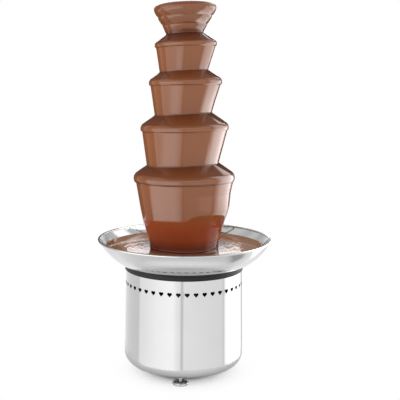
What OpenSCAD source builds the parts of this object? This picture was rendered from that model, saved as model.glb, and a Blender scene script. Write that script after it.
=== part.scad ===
// Five-tier chocolate fountain for a buffet: a drawn steel base on three levelling feet,
// a heated bowl, and a tower whose auger lifts the chocolate to the crown.
// Millimetres, +Z up, origin on the table under the middle of the bowl. The front is -Y.

/* [Base] */
// Outer diameter of the housing above its bottom corner
base_d = 280.4; // [260:0.2:300]
// Outer diameter of the housing at its mouth
mouth_d = 270; // [260:0.2:280]
// Height of the mouth above the table
mouth_z = 251; // [247:0.5:253]
// Gap between the table and the housing's underside
foot_gap = 20; // [18:0.5:26]
// Radius of the drawn bottom corner
corner_r = 27; // [15:1:30]
// Thickness of the housing sheet
sheet = 1.5; // [1:0.1:2]

/* [Heart vents] */
// Number of hearts round the housing
heart_count = 44; // [36:1:48]
// Width of one heart
heart_w = 10.8; // [6:0.2:12]
// Height of the row above the table
heart_z = 217.5; // [205:0.5:228]
// Turn of the row from the front, in degrees
heart_turn = -0.6; // [-4:0.1:4]

/* [Bowl] */
// Diameter over the rolled rim
bowl_d = 400; // [380:2:440]
// Height of the rim above the table
rim_z = 319.5; // [314:0.5:326]
// Height of the bowl's underside above the table
floor_z = 244.5; // [242:0.5:250]
// Radius of the flat floor
floor_r = 78; // [74:0.2:80]
// Thickness of the bowl
bowl_t = 1.6; // [1:0.1:2]
// Level of the chocolate in the bowl
pool_z = 299; // [292:1:304]

/* [Tower] */
// Outer diameter of the tube
tube_d = 57.6; // [54:0.2:60]
// Lip radius of the second to fifth tier, top to bottom
lip_r = [68.5, 81.3, 99.2, 115.2]; // [60:0.1:120]
// Height of those lips above the table
lip_z = [752, 670.5, 571, 459]; // [440:0.5:760]
// Radius at which each sheet of chocolate lands, crown first
land_r = [41, 53.8, 63.7, 80.8, 77.5]; // [38:0.1:90]
// Slope of a canopy, in degrees
canopy_slope = 35; // [30:1:40]
// Radius of each rounded lip
lip_round = [8.5, 12, 13.5, 16]; // [8:0.5:18]
// Lip radius of the crown
crown_r = 68; // [64:0.1:74]
// Height of the crown's lip above the table
crown_z = 827.5; // [822:0.5:840]
// Height of the chocolate's dome over that lip
dome_h = 13; // [10:0.5:20]
// Thickness of the chocolate film
film = 2.5; // [2:0.1:3]
// Thickness of a falling sheet of chocolate
sheet_choc = 3; // [2.5:0.1:4]

/* [Auger] */
// Outer radius of the flight
flight_r = 25.5; // [22:0.5:26]
// Rise of the flight in one turn
flight_pitch = 46; // [36:1:60]

/* [Feet] */
// Radius of the circle of feet
foot_ring_r = 103; // [96:1:106]
// Turn of the foot ring from the front, in degrees
foot_turn = -3; // [-30:1:30]
// Radius of a pad
pad_r = 18.5; // [15:0.5:20]
// Height of a pad
pad_h = 9; // [7:0.5:10]

/* [Controls] */
// Width of the control panel
panel_w = 138; // [120:2:150]
// Height of the control panel
panel_h = 70; // [64:1:74]
// Height of the panel's middle above the table
panel_z = 133; // [128:1:140]
// Turn of each switch from the middle of the back, in degrees
switch_turn = 19; // [17:0.5:21]
// Height of the power inlet above the table
inlet_z = 68; // [60:1:72]

/* [Hidden] */
$fn = 96;

// Running clearance of a shaft in its bore, and the gap left where two pieces only lie together
run_gap = 0.05;
lie_gap = 0.1;
far = 400;

// Housing: the wall leans in a little from the corner to the mouth
base_r = base_d / 2;
mouth_r = mouth_d / 2;
corner_z = foot_gap + corner_r;
pot_floor_z = foot_gap + sheet;
function wall_r(z) = mouth_r + (base_r - mouth_r) * (mouth_z - z) / (mouth_z - corner_z);
hatch_r = 68;
cover_r = 80;
cover_t = 1.5;
cover_screw_r = 74;
cover_screws_n = 6;
tie_r = 90;
tie_rod_r = 3;
boss_r = 5;
boss_z = floor_z - 10;

// Bowl: a flat floor, then one arc that is tangent to it and ends in the rim
bowl_r = bowl_d / 2;
arc_r = (pow(bowl_r - floor_r, 2) + pow(rim_z - floor_z, 2)) / (2 * (rim_z - floor_z));
arc_z = floor_z + arc_r;
bead_r = 2.4;
inner_floor_z = floor_z + bowl_t;
hub_r = 11.5;
hub_top = floor_z + 10;
bush_r = 9;
pool_hole_r = 57.5;

// Drive, hung below the bowl
shaft_r = 6;
fan_r = 33;
fan_h = 15;
fan_blades = 7;
tail_r = 4;
motor_r = 36;
gearbox_r = 38;
bracket_z = floor_z - 33;
gearbox_z = bracket_z - 49;
motor_z = gearbox_z - 78;
fan_z = motor_z - 26;
bracket_t = 3;
bracket_r = 54;
standoff_ring = 46;
standoff_r = 4;
gear_screw_ring = 26;
screw_r = 2.5;
hex_af = 9;
hex_z = floor_z + 16;
hex_h = 14;
heater_in = 54;
heater_t = 10;

// Tower
tube_r = tube_d / 2;
tube_t = 1.5;
tube_z = floor_z + 30;
tube_top = crown_z - 25.5;
sleeve_t = 2.1;
sleeve_h = 16;
canopy_t = 1.5;
pin_r = 2;
rim_angle = -5;
drip_angle = -24;
drip_step = 3;
foot_r = 56;
locate_ring = 50;
locate_r = 2.5;
core_r = 8;
core_top = tube_top - 6;
flight_z = floor_z + 20;
flight_top = tube_top - 9;
flight_t = 3;
flight_step = 20;

// Crown: an inverted cone whose chocolate runs down in ripples
cup_t = 1.7;
ripples = 2.8;
ripple_h = 2.2;
swell_h = 0.7;
dome_power = 4;
edge_power = 2.5;

// Feet
stud_r = 4;
thread_r = 3;
stud_seat = 3;
shoulder_z = 14;
stud_top = 44;
jam_h = foot_gap - shoulder_z;
nut_af = 13;
weld_nut_h = 6.5;

// Controls, each drawn at the wall with +Y outwards
panel_t = 3.5;
knob_z = 125;
lamp_z = 156;
spindle_r = 3;
neck_r = 4.9;
rocker_r = 13;
rocker_w = 17.6;
rocker_tilt = 9;
pivot_y = 0.5;
pivot_r = 1.5;
case_w = 21.2;
case_h = 29.6;
inlet_w = 50;
inlet_h = 24;
socket = [24.4, 16.6];

// Points and places

function arc_points(c, r, from, to, n) =
    [for (i = [0:n]) let (a = from + (to - from) * i / n) [c[0] + r * cos(a), c[1] + r * sin(a)]];
function reversed(list) = [for (i = [len(list) - 1:-1:0]) list[i]];
function hex_r(across_flats) = across_flats / sqrt(3);

module ring(outer, inner, h) {
    difference() {
        cylinder(r = outer, h = h);
        translate([0, 0, -1]) cylinder(r = inner, h = h + 2);
    }
}

module around(n, r, first = 0) {
    for (i = [0:n - 1]) rotate(first + 360 * i / n) translate([r, 0, 0]) children();
}

module revolve(points) { rotate_extrude() polygon(points); }

// +Z of the children points along +Y
module outwards() { rotate([-90, 0, 0]) children(); }

module at_wall(turn, z) { rotate(turn) translate([0, wall_r(z), z]) children(); }

module rounded_rect(w, h, r) {
    square([w - 2 * r, h], center = true);
    square([w, h - 2 * r], center = true);
    for (x = [-1, 1], y = [-1, 1]) translate([x * (w / 2 - r), y * (h / 2 - r)]) circle(r);
}

module box_on(w, d, h, y = 0) { translate([-w / 2, y, -h / 2]) cube([w, d, h]); }

// A machine screw that hangs from z = 0, with its head above
module pan_screw(r, length, head_r, head_h) {
    cylinder(r = head_r, h = head_h);
    translate([0, 0, -length]) cylinder(r = r, h = length);
}

// Base

module pot_region(inset, top) {
    rc = base_r - corner_r;
    polygon([
        [0, foot_gap + inset], [rc, foot_gap + inset], [rc, corner_z],
        [base_r - inset, corner_z], [wall_r(top) - inset, top], [0, top]
    ]);
    intersection() {
        translate([rc, corner_z]) circle(corner_r - inset);
        translate([rc, foot_gap]) square([corner_r, corner_r]);
    }
}

module heart() {
    lobe = 0.28 * heart_w;
    for (x = [-1, 1]) translate([x * (heart_w / 2 - lobe), 0.14 * heart_w]) circle(lobe);
    polygon([[-0.485 * heart_w, 0.02 * heart_w], [0, 0.3 * heart_w], [0.485 * heart_w, 0.02 * heart_w],
        [0, -0.52 * heart_w]]);
}

module heart_vents() {
    for (i = [0:heart_count - 1])
        rotate(360 * (i + 0.5) / heart_count - 90 + heart_turn)
            translate([mouth_r - 8, 0, heart_z]) rotate([90, 0, 90]) linear_extrude(16) heart();
}

module control_cutouts() {
    at_wall(0, knob_z) translate([0, -12, 0]) outwards() cylinder(r = neck_r + lie_gap, h = 30);
    at_wall(0, lamp_z) translate([0, -12, 0]) outwards() cylinder(r = 4.1, h = 30);
    for (turn = [-switch_turn, switch_turn])
        at_wall(turn, panel_z) box_on(case_w + 0.2, 30, case_h + 0.2, -15);
}

module housing() {
    color("gainsboro") difference() {
        rotate_extrude() difference() {
            pot_region(0, mouth_z);
            pot_region(sheet, mouth_z + 1);
        }
        heart_vents();
        control_cutouts();
        at_wall(0, inlet_z) box_on(29.2, 30, 21.2, -15);
        translate([0, 0, foot_gap - 1]) cylinder(r = hatch_r, h = 4);
        translate([0, 0, foot_gap - 1]) feet() cylinder(r = thread_r + 0.5, h = 4);
        translate([0, 0, foot_gap - 1]) ties() cylinder(r = tie_rod_r + 0.5, h = 4);
    }
}

module feet() { around(3, foot_ring_r, foot_turn - 90) children(); }

module ties() { around(3, tie_r, foot_turn - 30) children(); }

module cover_ring() { around(cover_screws_n, cover_screw_r, foot_turn) children(); }

module bottom_cover() {
    color("silver") translate([0, 0, foot_gap - cover_t]) difference() {
        cylinder(r = cover_r, h = cover_t);
        translate([0, 0, -1]) {
            around(16, 28) linear_extrude(cover_t + 2) rounded_rect(4, 4, 1.9);
            around(16, 48) linear_extrude(cover_t + 2) rounded_rect(24, 4, 1.9);
            cover_ring() cylinder(r = 1.7, h = cover_t + 2);
        }
    }
}

module cover_screws() {
    color("silver") translate([0, 0, foot_gap - cover_t]) cover_ring() rotate([180, 0, 0])
        pan_screw(1.6, cover_t - 0.2, 3.2, 1.8);
}

module tie_rods() {
    color("silver") translate([0, 0, 12]) ties() cylinder(r = tie_rod_r, h = boss_z + 7 - 12);
}

module tie_rod_nuts() {
    color("silver") translate([0, 0, foot_gap - 5]) ties() difference() {
        cylinder(r = hex_r(10), h = 5, $fn = 6);
        translate([0, 0, -1]) cylinder(r = tie_rod_r + run_gap, h = 7);
    }
}

module rim_gasket() {
    low = mouth_z - 2.5;
    high = mouth_z + 9.5;
    color("dimgray") rotate_extrude() difference() {
        translate([mouth_r - 5, low]) square([7.2, high - low]);
        translate([mouth_r - sheet - lie_gap, low - 1]) square([sheet + 2 * lie_gap, mouth_z - low + 1]);
        bowl_region(lie_gap);
    }
}

// Bowl

// Half section of the filled bowl, grown outwards by grow
module bowl_region(grow = 0) {
    translate([0, floor_z - grow]) square([floor_r, rim_z + 1 - floor_z + grow]);
    intersection() {
        translate([floor_r, arc_z]) circle(arc_r + grow, $fn = 180);
        translate([floor_r, floor_z - grow]) square([arc_r + grow, rim_z + 1 - floor_z + grow]);
    }
}

module bowl() {
    color("gainsboro") difference() {
        union() {
            rotate_extrude() {
                difference() {
                    intersection() {
                        bowl_region();
                        square([bowl_r, rim_z - bead_r]);
                    }
                    bowl_region(-bowl_t);
                }
                translate([bowl_r - bead_r, rim_z - bead_r]) circle(bead_r);
            }
            translate([0, 0, floor_z]) cylinder(r = hub_r, h = hub_top - floor_z);
            translate([0, 0, boss_z]) ties() cylinder(r = boss_r, h = inner_floor_z - boss_z);
        }
        translate([0, 0, floor_z - 1]) cylinder(r = bush_r, h = 20);
        translate([0, 0, boss_z - 1]) ties() cylinder(r = tie_rod_r + run_gap, h = 9);
    }
}

module locating_pins() {
    color("silver") translate([0, 0, inner_floor_z]) around(3, locate_ring, 30)
        cylinder(r = locate_r, h = 9);
}

module chocolate_pool() {
    color("saddlebrown") rotate_extrude() intersection() {
        bowl_region(-bowl_t - lie_gap);
        translate([pool_hole_r, 0]) square([bowl_r, pool_z]);
    }
}

// Drive

module heater_plate() {
    color("lightgray") translate([0, 0, floor_z - heater_t]) difference() {
        ring(floor_r, heater_in, heater_t);
        rotate_extrude() translate([(floor_r + heater_in) / 2, 0]) circle(4.2);
    }
    color("lightgray") translate([0, 0, floor_z - heater_t]) rotate_extrude(angle = 340)
        translate([(floor_r + heater_in) / 2, 0]) circle(4);
}

module standoffs() {
    color("silver") translate([0, 0, bracket_z + bracket_t]) around(3, standoff_ring, 30) difference() {
        cylinder(r = standoff_r, h = floor_z - bracket_z - bracket_t);
        translate([0, 0, -1]) cylinder(r = screw_r + run_gap, h = 14);
    }
}

module motor_bracket() {
    color("silver") translate([0, 0, bracket_z]) difference() {
        cylinder(r = bracket_r, h = bracket_t);
        translate([0, 0, -1]) {
            cylinder(r = 14, h = bracket_t + 2);
            around(3, standoff_ring, 30) cylinder(r = screw_r + lie_gap, h = bracket_t + 2);
            around(4, gear_screw_ring, 45) cylinder(r = screw_r + lie_gap, h = bracket_t + 2);
            around(3, standoff_ring - 4, 90) cylinder(r = 8, h = bracket_t + 2);
        }
    }
}

module bracket_screws() {
    color("silver") translate([0, 0, bracket_z]) around(3, standoff_ring, 30) rotate([180, 0, 0])
        pan_screw(screw_r, 14, 4.2, 3.5);
}

module gearbox() {
    top = bracket_z - gearbox_z;
    color("dimgray") translate([0, 0, gearbox_z]) difference() {
        union() {
            revolve([[0, 0], [gearbox_r - 3, 0], [gearbox_r, 3],
                [gearbox_r, top - 2], [gearbox_r - 2, top], [0, top]]);
            translate([0, 0, 6]) around(4, gearbox_r - 1, 0) cylinder(r = 5, h = top - 12);
        }
        translate([0, 0, top - 20]) cylinder(r = shaft_r + run_gap, h = 21);
        translate([0, 0, top - 13]) around(4, gear_screw_ring, 45) cylinder(r = screw_r + run_gap, h = 14);
    }
}

module gearbox_screws() {
    color("silver") translate([0, 0, bracket_z + bracket_t]) around(4, gear_screw_ring, 45)
        pan_screw(screw_r, 14, 4.2, 3.5);
}

module motor_can() {
    h = gearbox_z - motor_z;
    color("darkgray") translate([0, 0, motor_z]) difference() {
        revolve([[0, 0], [motor_r - 5, 0], [motor_r, 5], [motor_r, h], [0, h]]);
        translate([0, 0, -1]) cylinder(r = tail_r + run_gap, h = 19);
        for (z = [22:8:62]) translate([0, 0, z]) ring(motor_r + 1, motor_r - 2.5, 3);
    }
}

module cooling_fan() {
    blade_t = 1.6;
    color("dimgray") {
        translate([0, 0, fan_z - 2]) cylinder(r = tail_r, h = motor_z + 15 - fan_z);
        translate([0, 0, fan_z]) difference() {
            cylinder(r = 11, h = fan_h);
            translate([0, 0, -1]) cylinder(r = tail_r - 0.5, h = fan_h + 2);
        }
        intersection() {
            translate([0, 0, fan_z]) around(fan_blades, 10) rotate([32, 0, 0])
                translate([0, -blade_t / 2, -8]) cube([fan_r, blade_t, fan_h + 20]);
            translate([0, 0, fan_z]) cylinder(r = fan_r, h = fan_h);
        }
    }
}

module drive_shaft() {
    color("silver") {
        translate([0, 0, bracket_z - 19]) cylinder(r = shaft_r, h = hex_z - bracket_z + 19);
        translate([0, 0, hex_z - 1]) cylinder(r = hex_r(hex_af), h = hex_h + 1, $fn = 6);
    }
}

module shaft_bush() {
    color("goldenrod") translate([0, 0, floor_z - 3]) difference() {
        union() {
            cylinder(r = 12, h = 3 - lie_gap);
            cylinder(r = bush_r - run_gap, h = 8);
        }
        translate([0, 0, -1]) cylinder(r = shaft_r + run_gap, h = 12);
    }
}

module shaft_seal() {
    color("dimgray") translate([0, 0, floor_z + 5]) ring(bush_r - run_gap, shaft_r + run_gap, 5);
}

module auger_shaft() {
    color("whitesmoke") difference() {
        translate([0, 0, hex_z]) cylinder(r = core_r, h = core_top - hex_z);
        translate([0, 0, hex_z - 1]) cylinder(r = hex_r(hex_af + 0.3), h = hex_h + 2, $fn = 6);
    }
}

// One unbroken ribbon: four corners a step, and two triangles on each side between steps
module auger_flight() {
    turn = 360 * (flight_top - flight_t - flight_z) / flight_pitch;
    steps = ceil(turn / flight_step);
    inner = (core_r + lie_gap) / cos(flight_step / 2);
    corners = [[inner, 0], [flight_r, 0], [flight_r, flight_t], [inner, flight_t]];
    points = [for (i = [0:steps], c = corners)
        let (a = turn * i / steps, z = flight_z + flight_pitch * a / 360)
        [c[0] * cos(a), c[0] * sin(a), z + c[1]]];
    sides = [for (i = [0:steps - 1], k = [0:3])
        let (a = 4 * i + k, b = 4 * i + (k + 1) % 4)
        each [[a, b + 4, b], [a, a + 4, b + 4]]];
    last = 4 * steps;
    color("whitesmoke") polyhedron(points, concat(sides,
        [[0, 1, 2], [0, 2, 3], [last, last + 2, last + 1], [last, last + 3, last + 2]]));
}

// Tower

module tower_foot() {
    inner = tube_r + lie_gap;
    stand_z = inner_floor_z + run_gap;
    color("silver") difference() {
        union() {
            translate([0, 0, stand_z]) ring(foot_r, 44, 3);
            translate([0, 0, tube_z - 4]) ring(inner + 2.5, inner, 34);
            around(3, 0, 90) rotate([90, 0, 0]) translate([0, 0, -2]) linear_extrude(4) polygon([
                [tube_r - 1.8, stand_z], [foot_r - 1, stand_z], [foot_r - 1, stand_z + 6],
                [inner + 2, tube_z + 24], [inner, tube_z + 24], [inner, tube_z], [tube_r - 1.8, tube_z]]);
        }
        translate([0, 0, inner_floor_z - 1]) around(3, locate_ring, 30) cylinder(r = locate_r + 0.2, h = 5);
    }
}

// Height of the film's cone over the second to fifth tier, i = 0 to 3, lowered by depth along its normal
function cone_z(i, r, depth = 0) =
    let (a = 90 - canopy_slope, round_r = lip_round[i] - depth)
    lip_z[i] + round_r * sin(a) + (lip_r[i] - lip_round[i] + round_r * cos(a) - r) * tan(canopy_slope);
function lip_centre(i) = [lip_r[i] - lip_round[i], lip_z[i]];

hub_outer = tube_r + lie_gap + sleeve_t;
function hub_top_z(i) = cone_z(i, hub_outer, film);
function sleeve_z(i) = hub_top_z(i) - sleeve_h;
// The crown stands on the hub of the tier below it
crown_sleeve_z = hub_top_z(0) + lie_gap;
cup_z = crown_sleeve_z + 2;

module tower_tube() {
    color("silver") difference() {
        translate([0, 0, tube_z]) ring(tube_r, tube_r - tube_t, tube_top - tube_z);
        support_pins(pin_r + 0.02, tube_r - tube_t - 1, tube_r + 1);
    }
}

module support_pins(r, from, to) {
    for (i = [0:3])
        translate([0, 0, sleeve_z(i) - pin_r - lie_gap]) around(3, from, 30)
            rotate([0, 90, 0]) cylinder(r = r, h = to - from);
}

module tier_pins() { color("silver") support_pins(pin_r, tube_r - tube_t + lie_gap, tube_r + 3.5); }

// A spun cone with a rounded lip, on a sleeve that slides over the tube
module canopy(i) {
    c = lip_centre(i);
    start = 90 - canopy_slope;
    inner_film = film + canopy_t;
    bore = tube_r + lie_gap;
    color("silver") revolve(concat(
        [[bore, hub_top_z(i)], [hub_outer, hub_top_z(i)]],
        arc_points(c, lip_round[i] - film, start, rim_angle, 8),
        arc_points(c, lip_round[i] - inner_film, rim_angle, start, 8),
        [[hub_outer, cone_z(i, hub_outer, inner_film)], [hub_outer, sleeve_z(i)], [bore, sleeve_z(i)]]));
}

// Film over a canopy and lip, a small step in under the lip, then the sheet that falls to the next tier
module chocolate_tier(i, fall_outer, fall_inner) {
    c = lip_centre(i);
    start = 90 - canopy_slope;
    depth = film - lie_gap;
    from = land_r[i] - sheet_choc;
    edge = c + lip_round[i] * [cos(drip_angle), sin(drip_angle)];
    color("saddlebrown") revolve(concat(
        [[from, cone_z(i, from)]],
        arc_points(c, lip_round[i], start, drip_angle, 10),
        [edge - [drip_step, 1]],
        fall_outer,
        fall_inner,
        [edge - [drip_step + sheet_choc, 0]],
        arc_points(c, lip_round[i] - depth, drip_angle, start, 10),
        [[from, cone_z(i, from, depth)]]));
}

module falls_to_tier(i) {
    outer = land_r[i + 1];
    inner = outer - sheet_choc;
    chocolate_tier(i, [[outer, cone_z(i + 1, outer) + lie_gap]], [[inner, cone_z(i + 1, inner) + lie_gap]]);
}

// The last sheet bends inwards on its long fall to the bowl
module falls_to_bowl() {
    bend_z = pool_z + 55.5;
    draw_z = pool_z + 18;
    bend_r = land_r[4] + 16.8;
    draw_r = land_r[4] + 2.3;
    chocolate_tier(3,
        [[bend_r, bend_z], [draw_r, draw_z], [land_r[4], pool_z]],
        [[land_r[4] - sheet_choc, pool_z], [draw_r - sheet_choc, draw_z], [bend_r - sheet_choc, bend_z]]);
}

crown_land_z = cone_z(0, land_r[0]) + lie_gap;
flow_slope = (crown_r - land_r[0]) / (crown_z - crown_land_z);
cup_shift = film * sqrt(1 + flow_slope * flow_slope);
// Straight side of the crown's flow, and the same with its ripples
function flow_r(z) = land_r[0] + flow_slope * (z - crown_land_z);
function ripple(t) =
    ripple_h * (abs(sin(180 * (ripples * t + 0.1))) - 0.35) * (1 - t) + swell_h * sin(360 * t);
cup_top = crown_z - 5;

module crown() {
    bore = tube_r + lie_gap;
    top_r = flow_r(cup_top) - cup_shift;
    low_r = flow_r(cup_z) - cup_shift;
    pan_z = cup_z + cup_t;
    color("silver") revolve([
        [bore, crown_sleeve_z], [hub_outer, crown_sleeve_z], [hub_outer, cup_z], [low_r, cup_z],
        [top_r, cup_top], [top_r - cup_t, cup_top], [flow_r(pan_z) - cup_shift - cup_t, pan_z],
        [hub_outer, pan_z], [hub_outer, tube_top - 1], [bore, tube_top - 1]]);
}

module chocolate_crown() {
    fill_z = tube_top + 8;
    gap = cup_shift - lie_gap;
    dome = [for (i = [0:14]) let (r = crown_r * sin(90 * i / 14))
        [r, crown_z + dome_h * pow(1 - pow(r / crown_r, dome_power), 1 / edge_power)]];
    flow = [for (i = [1:24]) let (t = i / 24, z = crown_z + (crown_land_z - crown_z) * t)
        [flow_r(z) + ripple(t), z]];
    wall = cup_shift + cup_t + lie_gap;
    foot_in = land_r[0] - sheet_choc;
    color("saddlebrown") revolve(concat(
        [[0, fill_z], [flow_r(fill_z) - wall, fill_z], [flow_r(cup_top) - wall, cup_top + lie_gap]],
        [[flow_r(cup_top) - gap, cup_top + lie_gap], [flow_r(cup_z) - gap, cup_z]],
        [[foot_in, cone_z(0, foot_in) + lie_gap]],
        reversed(flow),
        reversed(dome)));
}

// Controls at the back

module panel_region() {
    for_z = [panel_z - panel_h, panel_z + panel_h];
    revolve([[wall_r(for_z[0]) + lie_gap, for_z[0]], [wall_r(for_z[0]) + panel_t, for_z[0]],
        [wall_r(for_z[1]) + panel_t, for_z[1]], [wall_r(for_z[1]) + lie_gap, for_z[1]]]);
}

// Everything inside the wall, grown outwards by grow, to seat a flange on the curve
module inside_wall(grow) {
    revolve([[0, corner_z], [wall_r(corner_z) + grow, corner_z],
        [wall_r(mouth_z) + grow, mouth_z], [0, mouth_z]]);
}

module panel_corners() {
    for (turn = [-25, 25], side = [-1, 1])
        at_wall(turn, panel_z + side * (panel_h / 2 - 7)) children();
}

module control_panel() {
    color("dimgray") difference() {
        intersection() {
            panel_region();
            translate([0, 0, panel_z]) outwards() linear_extrude(far) rounded_rect(panel_w, panel_h, 8);
        }
        control_cutouts();
        panel_corners() translate([0, -5, 0]) outwards() cylinder(r = 1.7, h = 20);
    }
}

module panel_screws() {
    color("silver") difference() {
        panel_corners() translate([0, panel_t + 0.2, 0]) outwards() pan_screw(1.6, panel_t, 3, 1.6);
        inside_wall(lie_gap);
    }
}

module thermostat() {
    color("dimgray") at_wall(0, knob_z) difference() {
        union() {
            box_on(34, 26, 34, -32);
            translate([0, -7, 0]) outwards() cylinder(r = neck_r, h = 7 + panel_t);
        }
        translate([0, -25, 0]) outwards() cylinder(r = spindle_r + run_gap, h = 40);
    }
}

module thermostat_spindle() {
    color("silver") at_wall(0, knob_z) translate([0, -24, 0]) outwards()
        cylinder(r = spindle_r, h = 24 + 17);
}

module thermostat_knob() {
    skirt_y = panel_t + 0.9;
    color("#222222") at_wall(0, knob_z) difference() {
        union() {
            translate([0, skirt_y, 0]) outwards()
                revolve([[0, 0], [21, 0], [21, 1.4], [19.5, 2.4],
                    [15.5, 3], [14.4, 16], [13, 17.5], [0, 17.5]]);
            box_on(3, 15.5, 19, skirt_y + 2.2);
        }
        for (i = [0:11]) rotate([0, 30 * i + 15, 0])
            translate([17, skirt_y + 4.2, 0]) outwards() cylinder(r = 3, h = 20);
        translate([0, skirt_y - 1, 0]) outwards() cylinder(r = spindle_r + 0.02, h = 14.9);
    }
}

module pilot_lamp() {
    color("orangered") at_wall(0, lamp_z) outwards() {
        translate([0, 0, panel_t + 0.3])
            revolve([[0, 0], [6, 0], [6, 1.6], [4.6, 1.6], [4.2, 3.2], [3, 4.2], [0, 4.7]]);
        translate([0, 0, -16]) cylinder(r = 4, h = 16 + panel_t + 0.5);
    }
}

module switch_case(turn) {
    flange_y = panel_t + 2.1;
    color("#1c1c1c") difference() {
        at_wall(turn, panel_z) difference() {
            union() {
                box_on(26, flange_y - 1, 34, 1);
                box_on(case_w, 26, case_h, -24);
            }
            box_on(rocker_w + 0.6, 30, 2 * rocker_r + 0.6, pivot_y - 7);
            translate([-10.1, pivot_y, 0]) rotate([0, 90, 0]) cylinder(r = pivot_r + 0.06, h = 20.2);
        }
        difference() {
            inside_wall(panel_t + lie_gap);
            at_wall(turn, panel_z) box_on(case_w, 60, case_h, -30);
        }
    }
}

// A rocker pressed at its upper half: a shallow V on a round back that turns about its pins
module rocker(turn) {
    front = 5.5;
    rise = front + rocker_r * tan(rocker_tilt);
    color("#1c1c1c") at_wall(turn, panel_z) translate([0, pivot_y, 0]) rotate([rocker_tilt, 0, 0]) {
        rotate([0, -90, 0]) translate([0, 0, -rocker_w / 2]) linear_extrude(rocker_w) intersection() {
            circle(rocker_r);
            polygon([[-rocker_r, -4], [rocker_r, -4], [rocker_r, rise], [0, front], [-rocker_r, rise]]);
        }
        translate([-10, 0, 0]) rotate([0, 90, 0]) cylinder(r = pivot_r, h = 20);
    }
}

// The socket's outline, with its two lower corners cut off
module socket_outline(grow) {
    w = socket[0] / 2 + grow;
    h = socket[1] / 2 + grow;
    cut = 4.5;
    polygon([[-w, -h], [w, -h], [w, h - cut], [w - cut, h], [cut - w, h], [-w, h - cut]]);
}

module power_inlet() {
    flange_y = 3.2;
    color("#1c1c1c") difference() {
        at_wall(0, inlet_z) difference() {
            union() {
                translate([0, -2, 0]) outwards() linear_extrude(flange_y + 2)
                    rounded_rect(inlet_w, inlet_h, 4);
                translate([0, -24, 0]) outwards() linear_extrude(25) socket_outline(2);
            }
            translate([0, -17, 0]) outwards() linear_extrude(40) socket_outline(0);
            for (x = [-20, 20]) translate([x, -5, 0]) outwards() cylinder(r = 1.7, h = 20);
            for (x = [-7, 0, 7]) translate([x, 0, x == 0 ? 4 : 0]) box_on(2.2, 12, 4.2, -28);
        }
        difference() {
            inside_wall(lie_gap);
            at_wall(0, inlet_z) box_on(29, 60, 21, -40);
        }
    }
}

module inlet_pins() {
    color("silver") at_wall(0, inlet_z)
        for (x = [-7, 0, 7]) translate([x, 0, x == 0 ? 4 : 0]) box_on(2, 25, 4, -31);
}

module inlet_screws() {
    color("silver") difference() {
        at_wall(0, inlet_z) for (x = [-20, 20]) translate([x, 3.3, 0]) outwards() pan_screw(1.6, 6, 3, 1.4);
        inside_wall(lie_gap);
    }
}

module terminal_block() {
    color("ivory") translate([-62, 52, pot_floor_z + lie_gap]) rotate(50) difference() {
        translate([-22, -10, 0]) cube([44, 20, 17]);
        for (x = [-15:10:15]) translate([x, 0, 8]) {
            cylinder(r = 2.8, h = 10);
            translate([0, -11, -2]) rotate([-90, 0, 0]) cylinder(r = 2, h = 22);
        }
    }
}

// Levelling feet

module hex_nut(h, bore) {
    difference() {
        cylinder(r = hex_r(nut_af), h = h, $fn = 6);
        translate([0, 0, -1]) cylinder(r = bore, h = h + 2);
    }
}

module weld_nuts() {
    color("silver") translate([0, 0, pot_floor_z]) feet() hex_nut(weld_nut_h, thread_r + run_gap);
}

module jam_nuts() {
    color("silver") translate([0, 0, shoulder_z]) feet() hex_nut(jam_h, thread_r + run_gap);
}

module at_foot(i) { rotate(foot_turn - 90 + 120 * i) translate([foot_ring_r, 0, 0]) children(); }

module foot_pad(i) {
    flat_r = stud_r + 2;
    edge_h = 2;
    dome = [for (k = [0:8]) let (a = 90 * k / 8)
        [flat_r + (pad_r - flat_r) * cos(a), edge_h + (pad_h - edge_h) * sin(a)]];
    color("silver") at_foot(i) difference() {
        revolve(concat([[0, 0], [pad_r - 1, 0], [pad_r, 1]], dome, [[0, pad_h]]));
        translate([0, 0, stud_seat]) cylinder(r = stud_r + run_gap, h = pad_h);
    }
}

module foot_stud(i) {
    color("silver") at_foot(i) {
        translate([0, 0, stud_seat]) cylinder(r = stud_r, h = shoulder_z - stud_seat);
        translate([0, 0, shoulder_z - 1]) cylinder(r = thread_r, h = stud_top - shoulder_z + 1);
    }
}

housing();
bottom_cover();
cover_screws();
tie_rods();
tie_rod_nuts();
rim_gasket();
bowl();
locating_pins();
heater_plate();
standoffs();
motor_bracket();
bracket_screws();
gearbox();
gearbox_screws();
motor_can();
cooling_fan();
drive_shaft();
shaft_bush();
shaft_seal();
auger_shaft();
auger_flight();
tower_foot();
tower_tube();
tier_pins();
crown();
canopy(0);  // canopy_2
canopy(1);  // canopy_3
canopy(2);  // canopy_4
canopy(3);  // canopy_5
chocolate_crown();
falls_to_tier(0);  // chocolate_2
falls_to_tier(1);  // chocolate_3
falls_to_tier(2);  // chocolate_4
falls_to_bowl();  // chocolate_5
chocolate_pool();
control_panel();
panel_screws();
thermostat();
thermostat_spindle();
thermostat_knob();
pilot_lamp();
switch_case(switch_turn);  // motor_switch
rocker(switch_turn);  // motor_rocker
switch_case(-switch_turn);  // heat_switch
rocker(-switch_turn);  // heat_rocker
power_inlet();
inlet_pins();
inlet_screws();
terminal_block();
weld_nuts();
jam_nuts();
foot_pad(0);  // foot_pad_1
foot_pad(1);  // foot_pad_2
foot_pad(2);  // foot_pad_3
foot_stud(0);  // foot_stud_1
foot_stud(1);  // foot_stud_2
foot_stud(2);  // foot_stud_3
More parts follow.
